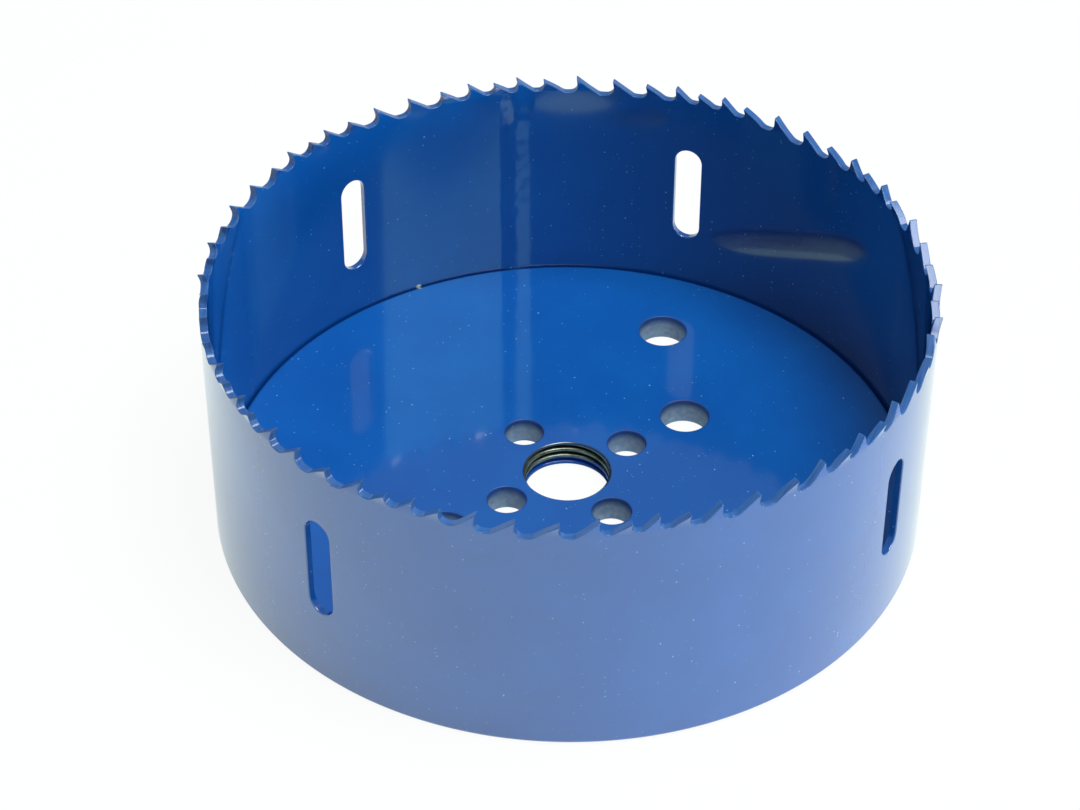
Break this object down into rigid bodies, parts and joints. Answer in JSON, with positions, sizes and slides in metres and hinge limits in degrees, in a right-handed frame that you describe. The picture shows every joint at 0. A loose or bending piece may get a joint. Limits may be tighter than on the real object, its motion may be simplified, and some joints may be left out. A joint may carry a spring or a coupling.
{
  "type": "hole saw",
  "caption": "Deep cup-shaped hole saw with a toothed rim, slotted wall, tapped arbor hole and drive-pin holes in its back plate.",
  "frame": {"origin": "centre of the back face, on the spin axis, where the saw stands on its back", "axes": "+Z is the spin axis and points from the back face to the teeth; +X passes through one drive-pin hole and one knock-out hole; the cutting faces look anticlockwise seen from the toothed side"},
  "size_m": [0.1208, 0.1208, 0.0456],
  "materials": {
    "blue_enamel": "gloss"
  },
  "bodies": {
    "root": {"toothed_wall": "blue_enamel", "back_plate": "blue_enamel", "plate_weld": "blue_enamel"}
  },
  "joints": []
}
